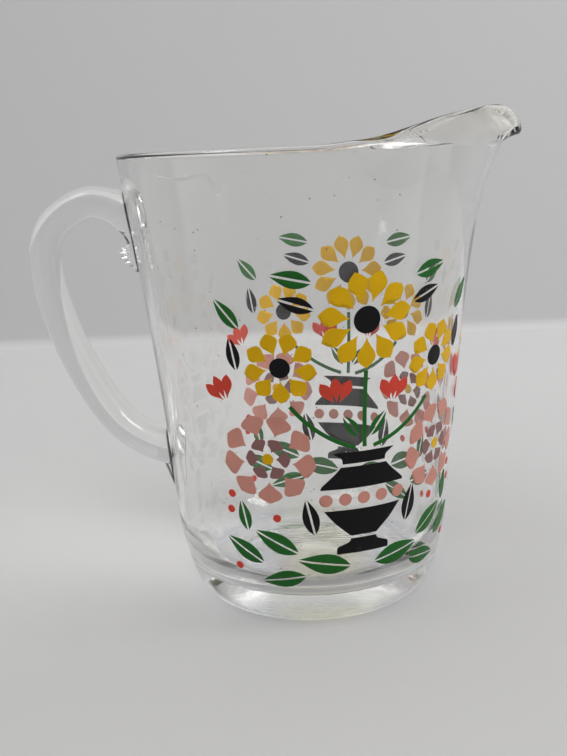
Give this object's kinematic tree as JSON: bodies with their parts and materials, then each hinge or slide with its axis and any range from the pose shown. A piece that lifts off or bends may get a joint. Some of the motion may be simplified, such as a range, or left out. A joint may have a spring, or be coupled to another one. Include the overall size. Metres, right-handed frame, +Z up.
{
  "type": "glass pitcher",
  "caption": "Clear glass pitcher with a flared wall, a pulled spout, an applied loop handle with a crimped tail, and a fired enamel print of flowers in a vase.",
  "frame": {"origin": "centre of the flat foot ring, on the table plane", "axes": "+Z up along the axis of the vessel, +X towards the spout, -X towards the handle, +Y to the left of someone who looks along the spout"},
  "size_m": [0.2189, 0.1592, 0.2148],
  "materials": {
    "vessel_glass": "clear pressed soda-lime glass, fire-polished, faint warm tint at the rim",
    "handle_glass": "clear hand-applied glass with soft tool marks",
    "green_enamel": "fired green enamel, satin gloss",
    "yellow_enamel": "fired yellow enamel, satin gloss",
    "red_enamel": "fired red enamel, satin gloss",
    "pink_enamel": "fired salmon pink enamel, satin gloss",
    "mauve_enamel": "fired mauve enamel, satin gloss",
    "black_enamel": "fired black enamel, satin gloss"
  },
  "bodies": {
    "root": {"glass_vessel": "vessel_glass", "glass_handle": "handle_glass", "green_enamel": "green_enamel", "yellow_enamel": "yellow_enamel", "red_enamel": "red_enamel", "pink_enamel": "pink_enamel", "mauve_enamel": "mauve_enamel", "black_enamel": "black_enamel"}
  },
  "joints": []
}
